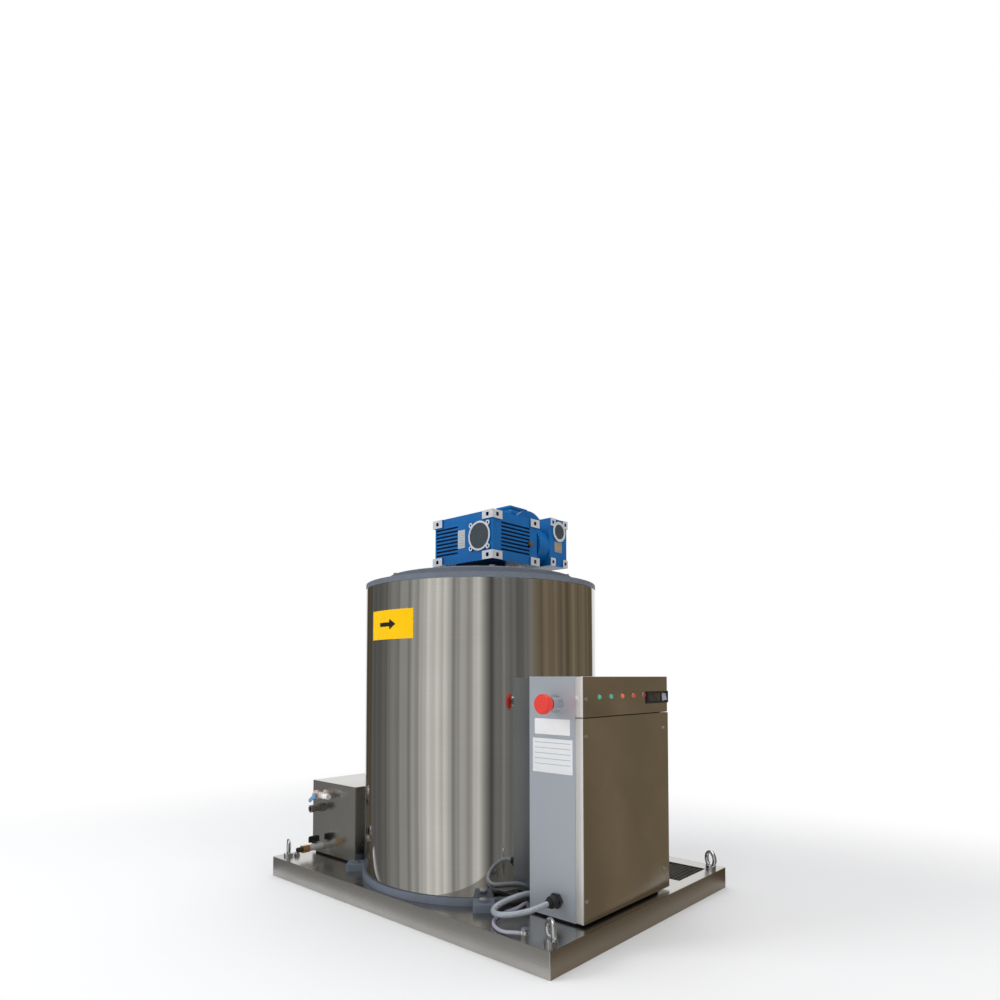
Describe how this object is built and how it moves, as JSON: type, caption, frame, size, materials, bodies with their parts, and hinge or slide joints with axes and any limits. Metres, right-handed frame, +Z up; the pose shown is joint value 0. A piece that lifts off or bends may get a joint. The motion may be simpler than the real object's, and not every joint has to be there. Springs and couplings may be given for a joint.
{
  "type": "ice machine",
  "caption": "Flake ice machine: polished insulated drum with a geared scraper drive on top, water tank and control box on a steel tray.",
  "frame": {"origin": "centre of the steel tray's bottom, on the floor", "axes": "+X along the tray's long side, towards the control box's covers; +Y towards the refrigerant pipes; +Z up"},
  "size_m": [0.92, 0.7, 0.976],
  "materials": {
    "polished_steel": "polished",
    "folded_steel": "satin",
    "bolt_steel": "bright",
    "foot_grey": "satin",
    "dark_iron": "matt",
    "gear_blue": "gloss",
    "bronze": "satin",
    "copper": "satin",
    "white_plastic": "matt",
    "foam": "matt",
    "black_plastic": "matt",
    "grey_plastic": "matt",
    "black_rubber": "matt",
    "lamp_plastic": "gloss",
    "stop_red": "gloss",
    "lever_blue": "gloss",
    "conduit_metal": "ribbed"
  },
  "bodies": {
    "frame": {"base_tray": "polished_steel", "base_channels": "folded_steel", "vent_grille": "folded_steel", "lifting_eyes": "bolt_steel", "deck_fittings": "bolt_steel", "deck_seals": "black_rubber", "foot_ring": "foot_grey", "hex_bolts": "bolt_steel", "bearing_spider": "folded_steel", "water_trough": "polished_steel", "trough_drain_pipe": "white_plastic", "evaporator_cylinder": "polished_steel", "insulation": "foam", "drum_cladding": "polished_steel", "top_ring": "foot_grey", "drum_lid": "foot_grey", "refrigerant_pipes": "copper", "gear_mount_flange": "dark_iron", "gear_housing": "gear_blue", "small_housing": "gear_blue", "bearings": "bolt_steel", "bore_caps": "bolt_steel", "oil_plugs": "bronze", "motor_body": "gear_blue", "fan_cover": "gear_blue", "terminal_box": "gear_blue", "nameplates": "white_plastic", "water_tank": "polished_steel", "tank_cover": "polished_steel", "tank_fittings": "bronze", "circulation_pump": "black_plastic", "feed_pipe": "white_plastic", "control_casing": "polished_steel", "control_fascia": "polished_steel", "control_door": "polished_steel", "cover_screws": "bolt_steel", "indicator_lamps": "lamp_plastic", "controller_module": "black_plastic", "stop_collar": "bolt_steel", "cable_gland": "black_plastic", "mounting_plate": "folded_steel", "contactors": "black_plastic", "metal_conduit": "conduit_metal", "grey_hose": "grey_plastic", "black_conduit": "black_plastic"},
    "rotor": {"main_shaft": "folded_steel", "blade_carrier": "folded_steel", "ice_blade": "folded_steel", "water_squeegee": "black_rubber", "water_distributor": "polished_steel", "worm_wheel": "bronze"},
    "worm": {"worm_shaft": "folded_steel", "small_worm_wheel": "bronze"},
    "motor_rotor": {"motor_shaft": "folded_steel", "motor_fan": "white_plastic"},
    "stop": {"stop_button": "stop_red"},
    "rocker": {"rocker_switch": "grey_plastic"},
    "lever": {"inlet_lever": "lever_blue"},
    "handle": {"drain_handle": "black_plastic"},
    "float": {"float_arm": "grey_plastic"}
  },
  "joints": [
    {"name": "rotor_spin", "type": "hinge", "parent": "frame", "child": "rotor", "pos_m": [0.0125, -0.056, 0.07], "axis": [0, 0, 1], "continuous": true},
    {"name": "worm_spin", "type": "hinge", "parent": "frame", "child": "worm", "pos_m": [0.0875, -0.056, 0.8495], "axis": [0, 1, 0], "continuous": true},
    {"name": "motor_spin", "type": "hinge", "parent": "frame", "child": "motor_rotor", "pos_m": [0.0275, 0.1035, 0.8895], "axis": [1, 0, 0], "continuous": true},
    {"name": "stop_press", "type": "slide", "parent": "frame", "child": "stop", "axis": [0, 1, 0], "range_m": [0, 0.004], "stiffness_N_per_m": 500, "springref_m": -0.004},
    {"name": "rocker_tilt", "type": "hinge", "parent": "frame", "child": "rocker", "pos_m": [0.438, 0.0845, 0.474], "axis": [0, 1, 0], "range_deg": [0, 20]},
    {"name": "inlet_lever_turn", "type": "hinge", "parent": "frame", "child": "lever", "pos_m": [-0.363, -0.288, 0.209], "axis": [0, 1, 0], "range_deg": [0, 90]},
    {"name": "drain_handle_turn", "type": "hinge", "parent": "frame", "child": "handle", "pos_m": [-0.384, -0.276, 0.082], "axis": [0, 0, 1], "range_deg": [0, 90]},
    {"name": "float_swing", "type": "hinge", "parent": "frame", "child": "float", "pos_m": [-0.363, -0.232, 0.209], "axis": [1, 0, 0], "range_deg": [0, 25]}
  ],
  "couplings": [
    {"joint": "worm_spin", "follows": "rotor_spin", "ratio": 30},
    {"joint": "motor_spin", "follows": "rotor_spin", "ratio": 900}
  ]
}
